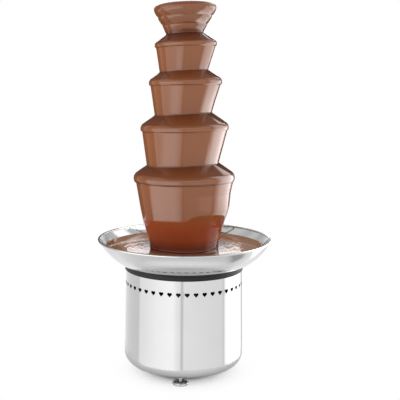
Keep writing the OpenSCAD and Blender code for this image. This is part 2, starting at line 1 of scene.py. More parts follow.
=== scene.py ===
import bpy
import bmesh
import numpy as np
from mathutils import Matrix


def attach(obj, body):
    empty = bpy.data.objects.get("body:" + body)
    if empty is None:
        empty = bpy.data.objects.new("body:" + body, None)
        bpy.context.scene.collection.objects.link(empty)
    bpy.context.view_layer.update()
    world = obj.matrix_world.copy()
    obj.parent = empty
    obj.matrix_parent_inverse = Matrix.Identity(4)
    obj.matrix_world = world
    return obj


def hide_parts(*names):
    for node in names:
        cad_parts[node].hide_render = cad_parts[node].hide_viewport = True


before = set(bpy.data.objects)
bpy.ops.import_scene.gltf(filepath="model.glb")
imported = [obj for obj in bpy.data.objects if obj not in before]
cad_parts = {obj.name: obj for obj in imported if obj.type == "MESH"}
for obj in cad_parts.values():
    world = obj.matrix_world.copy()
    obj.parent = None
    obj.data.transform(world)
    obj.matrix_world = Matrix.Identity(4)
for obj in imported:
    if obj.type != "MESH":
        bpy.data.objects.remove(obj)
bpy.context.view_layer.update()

scene = bpy.context.scene
scene.view_settings.view_transform = "Standard"


# Camera: it stands about 1.65 metres in front of the fountain, at the height of the third tier, and
# looks down a little. The photograph is cut from a wider one, so the lens is shifted.
camera = bpy.data.objects.new("camera", bpy.data.cameras.new("camera"))
camera.data.sensor_width = 36.0
camera.data.lens = 64.91
camera.data.shift_x, camera.data.shift_y = 0.151, 0.112
camera.location = (0.0, -1.6486, 0.6459)
camera.rotation_euler = np.radians((78.201, 0.315, 3.518))
scene.collection.objects.link(camera)
scene.camera = camera


# Housing: a deep-drawn pot of stainless steel, polished to a mirror outside, with a ring of hearts pierced
# under its mouth. Its inner side is painted near-black and dull as painted shade, for the dark inside of
# the pot. The solid has its shape, so it stays and gets the finish.
def grey(level):
    """A colour with no hue."""
    return (level, level, level)


def start_material(name):
    """A material with its Principled shader and the object's own coordinates."""
    made = bpy.data.materials.new(name)
    made.use_nodes = True
    tree = made.node_tree
    coords = tree.nodes.new("ShaderNodeTexCoord")
    return made, tree, tree.nodes["Principled BSDF"], coords.outputs["Object"]


def set_inputs(node, **values):
    """Set sockets by name; an underscore in a name stands for a space."""
    for name, value in values.items():
        node.inputs[name.replace("_", " ")].default_value = value


def feed(tree, node, **sources):
    """Link sockets by name; an underscore in a name stands for a space."""
    for name, source in sources.items():
        tree.links.new(source, node.inputs[name.replace("_", " ")])


def dress(material, *names):
    """Put a finish on solids that keep their own shape."""
    for name in names:
        for material_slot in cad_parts[name].material_slots:
            material_slot.material = material


def noise(tree, place, **values):
    """A noise of 0 to 1 over a place."""
    node = tree.nodes.new("ShaderNodeTexNoise")
    set_inputs(node, **values)
    feed(tree, node, Vector=place)
    return node.outputs["Fac"]


def value_range(tree, source, low, high, start=0.0, end=1.0):
    """Spread a value that goes from start to end over the range from low to high."""
    node = tree.nodes.new("ShaderNodeMapRange")
    set_inputs(node, From_Min=start, From_Max=end, To_Min=low, To_Max=high)
    feed(tree, node, Value=source)
    return node.outputs["Result"]


# Where a colour mix keeps its sockets among those for other kinds of value
MIX_FACTOR, MIX_FIRST, MIX_SECOND, MIX_RESULT = 0, 6, 7, 2


def two_tones(tree, mask, first, second):
    """Blend two colours by a mask of 0 to 1; each is a colour or a socket."""
    node = tree.nodes.new("ShaderNodeMix")
    node.data_type = "RGBA"
    tree.links.new(mask, node.inputs[MIX_FACTOR])
    for socket, tone in ((node.inputs[MIX_FIRST], first), (node.inputs[MIX_SECOND], second)):
        if isinstance(tone, tuple):
            socket.default_value = (*tone, 1.0)
        else:
            tree.links.new(tone, socket)
    return node.outputs[MIX_RESULT]


def bump(tree, height, distance):
    """A bump from a height of 0 to 1, at a real depth in metres."""
    node = tree.nodes.new("ShaderNodeBump")
    set_inputs(node, Strength=1.0, Distance=distance)
    feed(tree, node, Height=height)
    return node.outputs["Normal"]


def combine(tree, operation, *inputs):
    """One step of arithmetic; an input is a socket or a number."""
    node = tree.nodes.new("ShaderNodeMath")
    node.operation = operation
    for socket, value in zip(node.inputs, inputs):
        if isinstance(value, (int, float)):
            socket.default_value = value
        else:
            tree.links.new(value, socket)
    return node.outputs[0]


def axes(tree, place):
    """The coordinates X, Y and Z of a place."""
    node = tree.nodes.new("ShaderNodeSeparateXYZ")
    tree.links.new(place, node.inputs[0])
    return node.outputs


def axis_distance(tree, place):
    """Distance from the upright axis: the length of a place whose height is taken away."""
    flat = tree.nodes.new("ShaderNodeVectorMath")
    flat.operation = "MULTIPLY"
    flat.inputs[1].default_value = (1.0, 1.0, 0.0)
    tree.links.new(place, flat.inputs[0])
    length = tree.nodes.new("ShaderNodeVectorMath")
    length.operation = "LENGTH"
    tree.links.new(flat.outputs[0], length.inputs[0])
    return length.outputs["Value"]


def marks_group():
    """Fine lines drawn out along one direction, and soft clouds where a cloth has wiped."""
    group = bpy.data.node_groups.new("polishing_marks", "ShaderNodeTree")
    for name, way, kind in (("Place", "INPUT", "Vector"), ("Stretch", "INPUT", "Vector"),
                            ("Lines", "OUTPUT", "Float"), ("Clouds", "OUTPUT", "Float")):
        group.interface.new_socket(name, in_out=way, socket_type=f"NodeSocket{kind}")
    start = group.nodes.new("NodeGroupInput")
    end = group.nodes.new("NodeGroupOutput")
    drawn = group.nodes.new("ShaderNodeVectorMath")
    drawn.operation = "MULTIPLY"
    group.links.new(start.outputs["Place"], drawn.inputs[0])
    group.links.new(start.outputs["Stretch"], drawn.inputs[1])
    feed(group, end, Lines=noise(group, drawn.outputs[0], Scale=1.0, Detail=3.0, Roughness=0.6),
         Clouds=noise(group, start.outputs["Place"], Scale=14.0, Detail=4.0, Roughness=0.55))
    return group


polishing_marks = marks_group()


def add_marks(tree, place, stretch):
    """Place the polishing marks in a material, drawn out by a stretch in each direction."""
    node = tree.nodes.new("ShaderNodeGroup")
    node.node_tree = polishing_marks
    set_inputs(node, Stretch=stretch)
    feed(tree, node, Place=place)
    return node.outputs["Lines"], node.outputs["Clouds"]


def finish(name, dark, light, rough, stretch, depth, **sockets):
    """A surface whose tone drifts with the clouds, and whose gloss and shallow bump follow the lines."""
    made, tree, shader, place = start_material(name)
    lines, clouds = add_marks(tree, place, stretch)
    feed(tree, shader, Base_Color=two_tones(tree, clouds, dark, light),
         Roughness=value_range(tree, lines, *rough), Normal=bump(tree, lines, depth))
    set_inputs(shader, **sockets)
    return made


def steel(name, dark, light, rough, stretch, depth):
    """Bare metal: a finish drawn out along the way it was polished or turned."""
    return finish(name, dark, light, rough, stretch, depth, Metallic=1.0)


# The wall leans out towards its foot. SKIN_R is where its outer skin would meet the table.
WALL_LEAN, SKIN_R, CORNER_Z = 0.0255, 0.1412, 0.06


def inside_mask(tree, place):
    """One on the pot's inner side, which gets the painted shade: above the rounded corner, where the
    distance from the axis, plus the wall's lean times the height, is less than the outer skin's."""
    height = axes(tree, place)["Z"]
    leaned = combine(tree, "MULTIPLY_ADD", height, WALL_LEAN, axis_distance(tree, place))
    return combine(tree, "MULTIPLY", combine(tree, "LESS_THAN", leaned, SKIN_R),
                   combine(tree, "GREATER_THAN", height, CORNER_Z))


mirror_steel = steel("mirror_steel", grey(0.52), grey(0.56), (0.03, 0.07), (9.0, 9.0, 90.0), 2e-6)
tree = mirror_steel.node_tree
shader = tree.nodes["Principled BSDF"]
inside = inside_mask(tree, tree.nodes["Texture Coordinate"].outputs["Object"])
polished = shader.inputs["Base Color"].links[0].from_socket
# Painted shade: the inner side is made near-black and not metallic, standing in for the darkness inside the
# pot
feed(tree, shader, Base_Color=two_tones(tree, inside, polished, grey(0.012)),
     Metallic=value_range(tree, inside, 1.0, 0.0))
dress(mirror_steel, "housing")


# Rim gasket: a moulded ring of black silicone rubber that grips the housing's mouth and carries the
# bowl. The lip seal of the drive shaft is moulded in the same rubber.
def moulding(name, dark, light, rough, grain, depth, **sockets):
    """A moulded skin: a finish whose fine grain is the same in every direction."""
    return finish(name, dark, light, rough, (grain, grain, grain), depth, **sockets)


black_rubber = moulding("black_rubber", grey(0.010), grey(0.018), (0.4, 0.6), 900.0, 2e-5,
                        Specular_IOR_Level=0.25)
dress(black_rubber, "rim_gasket", "shaft_seal")


# Bowl: spun from stainless sheet and polished inside and out, with its rim rolled to a bead. It sits
# on the gasket, and tie rods from under it pull it down on the housing.
spun_steel = steel("spun_steel", grey(0.60), grey(0.65), (0.03, 0.09), (30.0, 30.0, 160.0), 2e-6)
dress(spun_steel, "bowl")


# Feet: turned pads, bright chrome, each on a plated stud with a lock nut under the housing. The rods,
# nuts, screws and contacts have the same plating.
chrome = steel("chrome", grey(0.58), grey(0.68), (0.03, 0.08), (60.0, 60.0, 400.0), 1e-6)
plated = steel("plated", (0.45, 0.45, 0.46), grey(0.6), (0.15, 0.3), (300.0, 300.0, 900.0), 4e-6)
FEET = (1, 2, 3)
dress(chrome, *(f"foot_pad_{i}" for i in FEET))
dress(plated, *(f"foot_stud_{i}" for i in FEET), "jam_nuts", "weld_nuts", "tie_rods", "tie_rod_nuts",
      "cover_screws", "bracket_screws", "gearbox_screws", "panel_screws", "inlet_screws", "inlet_pins")


# Tower and drive: satin stainless tube, canopies, crown cup, foot and auger, all inside the
# chocolate, and the gearmotor that hangs under the bowl.
satin_steel = steel("satin_steel", (0.5, 0.5, 0.51), (0.6, 0.6, 0.61), (0.22, 0.36),
                    (40.0, 40.0, 900.0), 8e-6)
dress(satin_steel, "tower_foot", "tower_tube", "tier_pins", "crown", "canopy_2", "canopy_3",
      "canopy_4", "canopy_5", "locating_pins", "auger_shaft", "auger_flight", "drive_shaft",
      "thermostat_spindle", "bottom_cover", "motor_bracket", "standoffs")
cast_alloy = steel("cast_alloy", (0.42, 0.42, 0.43), (0.55, 0.55, 0.56), (0.4, 0.6),
                   (700.0, 700.0, 700.0), 3e-5)
dress(cast_alloy, "heater_plate", "gearbox")
turned_brass = steel("turned_brass", (0.55, 0.38, 0.13), (0.66, 0.48, 0.19), (0.2, 0.32),
                     (80.0, 80.0, 900.0), 5e-6)
dress(turned_brass, "shaft_bush")
grey_enamel = moulding("grey_enamel", (0.10, 0.105, 0.11), (0.14, 0.145, 0.15), (0.3, 0.45), 500.0, 2e-5)
dress(grey_enamel, "motor_can")
fan_plastic = moulding("fan_plastic", (0.025, 0.025, 0.027), (0.04, 0.04, 0.043), (0.4, 0.55), 700.0, 1e-5)
dress(fan_plastic, "cooling_fan")
ivory_plastic = moulding("ivory_plastic", (0.62, 0.58, 0.46), (0.7, 0.66, 0.55), (0.4, 0.55), 700.0, 1e-5)
dress(ivory_plastic, "terminal_block")


# Controls at the back: a grained black panel with a thermostat knob, a pilot lamp and two
# rocker switches, and under it the mains inlet, all moulded.
black_plastic = moulding("black_plastic", (0.018, 0.018, 0.02), (0.03, 0.03, 0.032), (0.38, 0.55),
                         1200.0, 2e-5)
dress(black_plastic, "control_panel", "thermostat", "thermostat_knob", "motor_switch", "heat_switch",
      "power_inlet")
gloss_black = moulding("gloss_black", (0.014, 0.014, 0.015), (0.022, 0.022, 0.024), (0.12, 0.22),
                       900.0, 4e-6)
dress(gloss_black, "motor_rocker", "heat_rocker")
lamp_lens = moulding("lamp_lens", (0.75, 0.16, 0.02), (0.85, 0.24, 0.04), (0.08, 0.16), 600.0, 5e-6)
dress(lamp_lens, "pilot_lamp")


# Marks: white ink on the panel, the knob and the rockers, a tenth of a millimetre thick. They are the
# ticks of the heat dial, a turning arrow for the motor, three waves for the heat, and the bar and ring
# of on and off.
MOUTH_R, MOUTH_Z, WALL_OUT, WALL_H = 0.135, 0.251, 0.0052, 0.204
PANEL_T, PANEL_R = 0.0035, 0.1415
KNOB_Z, SWITCH_Z, SIGN_Z, SWITCH_TURN = 0.125, 0.133, 0.159, 19.0
KNOB_END, ROCKER_SEAT, ROCKER_OUT, ROCKER_TIP = 0.0221, 0.0005, 0.0055, np.radians(9.0)
INK_LOW, INK_HIGH, SIGN_W = -5e-5, 1e-4, 0.0007
white_ink = moulding("white_ink", (0.72, 0.72, 0.70), (0.80, 0.80, 0.78), (0.4, 0.55), 900.0, 4e-6)


def wall_at(z):
    """Radius of the housing's wall at a height: it leans out evenly from the mouth to the foot."""
    return MOUTH_R + WALL_OUT * (MOUTH_Z - z) / WALL_H


def ribbon(path, width, closed=False):
    """A flat strip along a path of across and up: four corners at each step, low and high on its two
    sides. A closed strip joins its last step to its first, and an open one has two ends."""
    path = np.asarray(path, float)
    count = len(path)
    if closed:
        along = np.roll(path, -1, axis=0) - np.roll(path, 1, axis=0)
    else:
        along = np.gradient(path, axis=0)
    along /= np.linalg.norm(along, axis=1)[:, None]
    square = np.stack([-along[:, 1], along[:, 0]], axis=1)
    side = 0.5 * np.broadcast_to(width, count)[:, None] * square
    low, high = np.full((count, 1), INK_LOW), np.full((count, 1), INK_HIGH)
    corners = [(path + side, low), (path - side, low), (path - side, high), (path + side, high)]
    points = np.stack([np.hstack(corner) for corner in corners], axis=1).reshape(-1, 3)
    i = np.arange(count if closed else count - 1)[:, None]
    j = np.arange(4)[None, :]
    after, beside = (i + 1) % count, (j + 1) % 4
    faces = np.stack([4 * i + j, 4 * i + beside, 4 * after + beside, 4 * after + j], axis=-1).reshape(-1, 4)
    if not closed:
        faces = np.concatenate([faces, [[3, 2, 1, 0]], 4 * count - 4 + np.array([[0, 1, 2, 3]])])
    return points, faces


def bar(low, high, width):
    """An upright strip between two heights."""
    return ribbon(((0.0, low), (0.0, high)), width)


def ink_marks(name, ribbons, place, body):
    """Several ribbons in one mesh, each carried from across, up and out to its place. A ribbon whose
    volume comes out negative has its faces turned outwards."""
    points, faces, count = [], [], 0
    for strip, quads in ribbons:
        at = place(strip)
        a, b, c, d = (at[quads[:, k]] - at.mean(axis=0) for k in range(4))
        volume = np.sum(a * (np.cross(b, c) + np.cross(c, d)))
        points.append(at)
        faces.append((quads if volume > 0 else quads[:, ::-1]) + count)
        count += len(at)
    mesh = bpy.data.meshes.new(name)
    mesh.from_pydata(np.concatenate(points), [], np.concatenate(faces))
    mesh.materials.append(white_ink)
    piece = bpy.data.objects.new(name, mesh)
    scene.collection.objects.link(piece)
    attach(piece, body)


def on_panel(bearing):
    """Places marks on the panel's leaning round face, at a bearing in degrees from the middle of the
    back: across becomes an angle round the axis, and out adds to the radius."""
    def place(points):
        across, up, out = points.T
        radius = wall_at(up) + PANEL_T + out
        angle = across / PANEL_R - np.radians(bearing)
        return np.stack([radius * np.sin(angle), radius * np.cos(angle), up], axis=1)
    return place


def on_rocker(bearing):
    """Places marks on a rocker's two shallow faces, tipped with its upper half pressed, and turns them
    to a bearing in degrees from the middle of the back."""
    def place(points):
        across, up, out = points.T
        front = ROCKER_OUT + np.abs(up) * np.tan(ROCKER_TIP) + out
        y = wall_at(SWITCH_Z) + ROCKER_SEAT + front * np.cos(ROCKER_TIP) - up * np.sin(ROCKER_TIP)
        z = SWITCH_Z + front * np.sin(ROCKER_TIP) + up * np.cos(ROCKER_TIP)
        a = np.radians(bearing)
        return np.stack([across * np.cos(a) - y * np.sin(a), across * np.sin(a) + y * np.cos(a), z], axis=1)
    return place


def on_knob(points):
    """Places marks on the flat outer end of the knob's grip."""
    across, up, out = points.T
    return np.stack([across, wall_at(KNOB_Z) + KNOB_END + out, KNOB_Z + up], axis=1)


TICKS, TICK_STEP, TICK_W, TICK_GROWTH = 11, 27.0, 0.0005, 0.00007
TICK_IN, TICK_OUT, FIRST_TICK_OUT = 0.0224, 0.0256, 0.0242
dial = []
for k in range(TICKS):
    angle = np.radians(TICK_STEP * k)
    reach = np.array((TICK_IN, TICK_OUT if k else FIRST_TICK_OUT))[:, None]
    dial.append(ribbon((0.0, KNOB_Z) + reach * (-np.sin(angle), np.cos(angle)), TICK_W + TICK_GROWTH * k))
ink_marks("dial_ticks", dial, on_panel(0.0), "base")

LOOP_R, ARROW_L, ARROW_W, ARROW_TIP_W = 0.0034, 0.0022, 0.0026, 0.0001
sweep = np.radians(np.linspace(50.0, 330.0, 40))
loop = (0.0, SIGN_Z) + LOOP_R * np.stack([np.sin(sweep), np.cos(sweep)], axis=1)
arrow_tip = loop[-1] + ARROW_L * np.array((np.cos(sweep[-1]), -np.sin(sweep[-1])))
arrow = ribbon((loop[-1], arrow_tip), (ARROW_W, ARROW_TIP_W))
ink_marks("motor_sign", [ribbon(loop, SIGN_W), arrow], on_panel(SWITCH_TURN), "base")

WAVE_RISE, WAVE_OUT, WAVE_LENGTH, WAVE_GAP = 0.0038, 0.0006, 0.0009, 0.0027
rise = np.linspace(-WAVE_RISE, WAVE_RISE, 24)
wave = WAVE_OUT * np.sin(rise / WAVE_LENGTH)
waves = [ribbon(np.stack([middle + wave, SIGN_Z + rise], axis=1), SIGN_W)
         for middle in (-WAVE_GAP, 0.0, WAVE_GAP)]
ink_marks("heat_sign", waves, on_panel(-SWITCH_TURN), "base")

# The knob's line and the bar of on: low end, high end and width
KNOB_LINE, ON_BAR = (0.002, 0.009, 0.0012), (0.0042, 0.0088, 0.0009)
ink_marks("knob_line", [bar(*KNOB_LINE)], on_knob, "knob")
RING_R, RING_UP, RING_W = 0.0023, -0.0065, 0.0008
round_turn = np.linspace(0.0, 2.0 * np.pi, 32, endpoint=False)
off_ring = np.stack([RING_R * np.cos(round_turn), RING_UP + RING_R * np.sin(round_turn)], axis=1)
for name, bearing in (("motor", SWITCH_TURN), ("heat", -SWITCH_TURN)):
    on_and_off = [bar(*ON_BAR), ribbon(off_ring, RING_W, closed=True)]
    ink_marks(f"{name}_rocker_marks", on_and_off, on_rocker(bearing), f"{name}_rocker")


# Chocolate: warm milk chocolate, pumped up the tube and out at the crown. It coats each canopy
# and leaves its lip as a thin sheet that lands on the tier below, and at last in the bowl.
TURNS = 192
turn = np.linspace(0.0, 2.0 * np.pi, TURNS, endpoint=False)
FILM, SHEET, POOL_Z = 0.0025, 0.003, 0.299
SLOPE = np.radians(35.0)
# The four falling tiers from the top: rounding, radius and height of each lip, the angle at which the
# chocolate leaves it, how far the sheet steps in there, and the radius at which each sheet lands
LIP_ROUND = np.array((0.0085, 0.0120, 0.0135, 0.0160))
LIP_R = np.array((0.0685, 0.0813, 0.0992, 0.1152))
LIP_Z = np.array((0.7520, 0.6705, 0.5710, 0.4590))
DRIP = np.radians((-33.0, -23.0, -21.3, -27.0))
STEP_IN = (0.0019, 0.0027, 0.0028, 0.0038)
LAND_R = np.array((0.0410, 0.0538, 0.0637, 0.0808, 0.0775))
# The tower stands a little out of plumb: how far each tier's flow leans up to the right and moves
LEAN = np.radians((1.4, 0.7, 0.7, 0.3, 0.0))
LIP_SWAY = np.array((0.0009, 0.0008, -0.0005, -0.0007))
LAND_SWAY = np.array((-0.0029, -0.0041, -0.0050, 0.0005))
# Small gaps that keep chocolate from lying in the steel or in other chocolate, and the distance at
# which points on the axis merge
HAIR, SKIN, MERGE = 1e-4, 1e-5, 1e-7
# Below RED_TOP the sheet shows redder, and all of it from RED_FULL down: painted light, for light shining
# through the thin sheet
RED_TOP, RED_FULL = 0.385, 0.355


def shade_of(tree):
    """The painted shade that a piece's rows carry, as a share of full colour; at nothing the chocolate has
    its deep tone.
    """
    node = tree.nodes.new("ShaderNodeAttribute")
    node.attribute_name = "shade"
    return node.outputs["Fac"]


chocolate, tree, shader, place = start_material("chocolate")
lines, clouds = add_marks(tree, place, (55.0, 55.0, 5.0))
milk = two_tones(tree, clouds, (0.268, 0.082, 0.022), (0.293, 0.092, 0.026))
# Painted light: low on the sheet the colour turns redder, for light shining through the thin sheet
low_down = value_range(tree, axes(tree, place)["Z"], 0.0, 1.0, RED_TOP, RED_FULL)
painted_through_light = two_tones(tree, low_down, milk, (0.345, 0.064, 0.020))
# Painted shade: the shade attribute blends the colour down to a deep red-brown where less light falls, on
# the upward-facing cones and dome, under the lips and at the junctions
feed(tree, shader, Base_Color=two_tones(tree, shade_of(tree), (0.055, 0.009, 0.007), painted_through_light),
     Roughness=value_range(tree, lines, 0.05, 0.12), Normal=bump(tree, lines, 1.5e-5))
set_inputs(shader, IOR=1.6)


def evenly(points, count):
    """Points spaced evenly along a line through the given ones."""
    points = np.asarray(points)
    steps = np.concatenate([[0.0], np.cumsum(np.hypot(*np.diff(points, axis=0).T))])
    wanted = np.linspace(0.0, steps[-1], count)
    return np.stack([np.interp(wanted, steps, points[:, k]) for k in (0, 1)], axis=1)


def arc(centre, radius, start, end, count):
    """An arc of a circle in the half plane of radius and height, between two angles."""
    angle = np.linspace(start, end, count)
    return np.stack([centre[0] + radius * np.cos(angle), centre[1] + radius * np.sin(angle)], axis=1)


def bend(start, corner, end, count):
    """A curve that leaves start towards corner and comes into end from it: two blended straight lines."""
    t = np.linspace(0.0, 1.0, count)[:, None]
    start, corner, end = (np.asarray(p) for p in (start, corner, end))
    return (1 - t) ** 2 * start + 2 * t * (1 - t) * corner + t ** 2 * end


def smooth(share):
    """A smooth step: the share kept between 0 and 1, then its square times three less twice itself."""
    share = np.clip(share, 0.0, 1.0)
    return share ** 2 * (3 - 2 * share)


def streaks(seed, counts, fade=1.0):
    """A wavy ring: cosines of whole counts round the axis, each with its own phase, finer ones lower."""
    phases = np.random.default_rng(seed).uniform(0.0, 2.0 * np.pi, len(counts))
    weights = np.asarray(counts, float) ** -fade
    weights /= weights.sum()
    return (weights[:, None] * np.cos(np.outer(counts, turn) + phases[:, None])).sum(axis=0)


def all_round(line):
    """Radius and height of each point of a line, repeated at every turn."""
    return (np.repeat(line[:, k:k + 1], TURNS, axis=1) for k in (0, 1))


def flow_piece(name, node, r, z, material, shade, closed=True):
    """A line carried once round the axis: row i and column j of r and z give point i at turn j.
    Four neighbours make a face. A closed line joins its last row to its first, and an open one ends on
    the axis at both ends, where its points are merged. Shade gives each row's share of its full colour."""
    rows = r.shape[0]
    points = np.stack([r * np.cos(turn), r * np.sin(turn), z], axis=-1).reshape(-1, 3)
    i = np.arange(rows if closed else rows - 1)[:, None]
    j = np.arange(TURNS)[None, :]
    below, beside = (i + 1) % rows, (j + 1) % TURNS
    corners = [i * TURNS + j, below * TURNS + j, below * TURNS + beside, i * TURNS + beside]
    faces = np.stack(corners, axis=-1).reshape(-1, 4)
    area = np.sum(r[:, 0] * np.roll(z[:, 0], -1) - np.roll(r[:, 0], -1) * z[:, 0])
    mesh = bpy.data.meshes.new(name)
    mesh.from_pydata(points, [], faces[:, ::-1] if area > 0 else faces)
    mesh.attributes.new("shade", "FLOAT", "POINT").data.foreach_set("value", np.repeat(shade, TURNS))
    if not closed:
        shell = bmesh.new()
        shell.from_mesh(mesh)
        bmesh.ops.remove_doubles(shell, verts=shell.verts, dist=MERGE)
        shell.to_mesh(mesh)
        shell.free()
    mesh.shade_smooth()
    mesh.materials.append(material)
    piece = bpy.data.objects.new(name, mesh)
    scene.collection.objects.link(piece)
    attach(piece, "base")
    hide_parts(node)


def cone_z(i, r, depth=0.0):
    """Height of the film's cone on a canopy at a radius, lowered by a depth along its normal."""
    start = np.pi / 2 - SLOPE
    radius = LIP_ROUND[i] - depth
    touch_r = LIP_R[i] - LIP_ROUND[i] + radius * np.cos(start)
    return LIP_Z[i] + radius * np.sin(start) + (touch_r - r) * np.tan(SLOPE)


FILM_ROWS, LIP_ROWS, SHEET_ROWS, BACK_ROWS = 14, 40, 60, 12
# The film starts a little way in under the sheet above, but no nearer the axis than the canopy's hub
FILM_TUCK, HUB_R = 0.006, 0.0335
# The groove under a lip, as shares of its step inwards, and down in metres
GROOVE = np.array(((-0.1, -0.0004), (-0.5, -0.0007), (-0.9, -0.0010), (-1.0, -0.0020)))
FINE_STREAK, BROAD_STREAK = 0.00012, 0.00025
# Painted shade, as shares of full colour from the top tier: where the upward-facing film starts under the
# tier above, where it comes to the lip, and in the rows under the lip and at the sheet's foot. The lip
# reaches full colour as it turns down.
FILM_START_SHADE, FILM_LIP_SHADE = (0.0, 0.2, 0.2, 0.2), (0.36, 0.55, 0.55, 0.55)
UNDER_ROWS, UNDER_SHADE = (2, 3, 3, 7), (0.8, 0.72, 0.72, 0.38)
FOOT_ROWS, FOOT_SHADE = (5, 5, 5, 12), 0.3
TURN_DOWN, TURN_SPAN = 0.75, 0.65
# The last sheet's swelling, in degrees from the front to the right: rise, end and fall
SWELL_RISE, SWELL_END, SWELL_FALL = 27, 200, 60
LAST = 3


def falling_tier(i, name, node, fall, landing, swelling=None):
    """Film over the cone, round lip, a fine groove, then the sheet down its line to the landing, and
    back up inside. The sheet has faint upright streaks that fade at both ends. Each row sways sideways
    and leans by the cosine of its turn. A swelling is a second line that the sheet takes at the right."""
    centre = np.array((LIP_R[i] - LIP_ROUND[i], LIP_Z[i]))
    start, under = np.pi / 2 - SLOPE, DRIP[i]
    first = max(LAND_R[i] - SHEET - FILM_TUCK, HUB_R)
    lip = arc(centre, LIP_ROUND[i], start, under, LIP_ROWS)
    film = evenly([(first, cone_z(i, first)), lip[0]], FILM_ROWS)[:-1]
    groove = lip[-1] + GROOVE * (STEP_IN[i], 1.0)
    sheet = evenly(np.concatenate([groove[-1:], fall]), SHEET_ROWS)[1:]
    back = arc(centre, LIP_ROUND[i] - FILM + HAIR, under, start, BACK_ROWS)
    top = [[first, cone_z(i, first, FILM - HAIR)]]
    inside = evenly(np.concatenate([landing, back, top]), SHEET_ROWS)
    r, z = all_round(np.concatenate([film, lip, groove, sheet, inside]))

    begin = len(film) + len(lip) + len(groove)
    rows = slice(begin, begin + len(sheet))
    drop = np.linspace(0.0, 1.0, len(sheet))[:, None]
    ripple = FINE_STREAK * streaks(20 + i, (9, 17, 29, 43)) + BROAD_STREAK * streaks(40 + i, (2, 3, 5))
    r[rows] += drop ** 0.7 * drop[::-1] ** 0.2 * ripple
    still = np.zeros(len(inside))
    lean = np.concatenate([np.full(begin, LEAN[i]), np.linspace(LEAN[i], LEAN[i + 1], len(sheet)), still])
    sway = np.concatenate([np.linspace(0.0, LIP_SWAY[i], len(film)),
                           np.full(len(lip) + len(groove), LIP_SWAY[i]),
                           np.linspace(LIP_SWAY[i], LAND_SWAY[i], len(sheet)), still])
    moved = r + sway[:, None] * np.cos(turn)
    z += lean[:, None] * moved * np.cos(turn)
    if i < LAST:
        z[rows] += drop * (r[rows] - moved[rows]) * np.tan(SLOPE)
    r = moved
    if swelling is not None:
        bearing = np.degrees(np.mod(turn + np.pi / 2, 2.0 * np.pi))
        share = smooth(np.minimum(bearing / SWELL_RISE, (SWELL_END - bearing) / SWELL_FALL))
        swollen = evenly(np.concatenate([groove[-1:], swelling]), SHEET_ROWS)[1:] - sheet
        r[rows] += swollen[:, :1] * share
        z[rows] += swollen[:, 1:] * share

    # Painted shade: the film and the upper lip are darkened, and so are the rows under the lip and at the
    # sheet's foot, where less light falls
    turned = np.clip((TURN_DOWN - np.linspace(start, under, len(lip))) / TURN_SPAN, 0.0, 1.0)
    shade = np.concatenate([np.linspace(FILM_START_SHADE[i], FILM_LIP_SHADE[i], len(film)), FILM_LIP_SHADE[i] + (1.0 - FILM_LIP_SHADE[i]) * turned,
                            np.ones(len(groove) + len(sheet) + len(inside))])
    shade[rows.stop - FOOT_ROWS[i]:rows.stop] = np.linspace(1.0, FOOT_SHADE, FOOT_ROWS[i])
    shade[begin - len(groove) - UNDER_ROWS[i]:begin] = UNDER_SHADE[i]
    flow_piece(name, node, r, z, chocolate, shade)


FLARE_TOP, FLARE_OUT, FLARE_BACK = (0.0006, 0.0024), 0.0018, (-0.0004, 0.0003)
FLARE_ROWS, BEND_ROWS = 14, 10


def landing_on_tier(i):
    """Where a sheet meets the next film: it flares out by two millimetres and ends along the cone."""
    r = LAND_R[i + 1]
    foot = np.array((r, cone_z(i + 1, r)))
    out = np.array((r + FLARE_OUT, cone_z(i + 1, r + FLARE_OUT) + SKIN))
    inner = np.array((r - SHEET, cone_z(i + 1, r - SHEET) + HAIR))
    return bend(foot + FLARE_TOP, foot, out, FLARE_ROWS), [out + FLARE_BACK, inner]


for i, node in enumerate(("chocolate_2", "chocolate_3", "chocolate_4")):
    fall, landing = landing_on_tier(i)
    falling_tier(i, f"chocolate_sheet_{i + 2}", node, fall, landing)

# The last sheet turns in at two corners on its way to a foot in the pool
upper, lower, foot = np.array(((0.0947, 0.3545), (0.0810, 0.317), (0.0790, 0.303)))
into_pool = bend(foot, (0.0788, POOL_Z), (0.0805, POOL_Z + SKIN), BEND_ROWS)[1:]
last_line = np.concatenate([[upper + (0.0055, 0.035)],
                            bend(upper + (0.0025, 0.016), upper, lower + (0.008, 0.023), BEND_ROWS),
                            bend(lower + (0.006, 0.017), lower, foot, BEND_ROWS), into_pool])
swelling = np.concatenate([[[0.1073, 0.435]],
                           bend((0.1035, 0.394), (0.1027, 0.3855), (0.0985, 0.3745), BEND_ROWS),
                           bend((0.0942, 0.363), (0.0838, 0.334), foot, BEND_ROWS), into_pool])
landing = [(0.0795, POOL_Z + 0.0004), (LAND_R[-1] - SHEET, POOL_Z + HAIR), lower - (SHEET, 0.0),
           upper - (SHEET, 0.0)]
falling_tier(LAST, "chocolate_sheet_5", "chocolate_5", last_line, landing, swelling)


